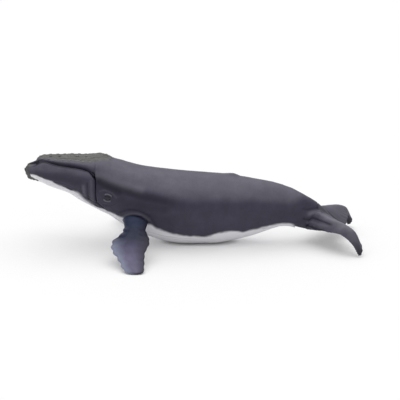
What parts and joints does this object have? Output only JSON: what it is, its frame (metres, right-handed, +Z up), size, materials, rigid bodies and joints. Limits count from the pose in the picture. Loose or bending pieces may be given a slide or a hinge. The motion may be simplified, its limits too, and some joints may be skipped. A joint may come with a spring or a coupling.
{
  "type": "humpback whale figurine",
  "caption": "Moulded vinyl humpback whale with raised head, pleated throat, plugged-in flippers and flukes, resting on its belly and flipper tips.",
  "frame": {"origin": "on the ground, under the middle of the whale's length and width", "axes": "+X toward the tail, +Y toward the whale's right side, +Z up"},
  "size_m": [0.3099, 0.1968, 0.0839],
  "materials": {
    "dark_vinyl": "satin painted vinyl",
    "white_vinyl": "satin painted vinyl",
    "flipper_vinyl": "satin painted vinyl",
    "fluke_vinyl": "satin painted vinyl"
  },
  "bodies": {
    "root": {"back_body": "dark_vinyl", "belly_body": "white_vinyl", "left_flipper": "flipper_vinyl", "right_flipper": "flipper_vinyl", "tail_flukes": "fluke_vinyl"}
  },
  "joints": []
}
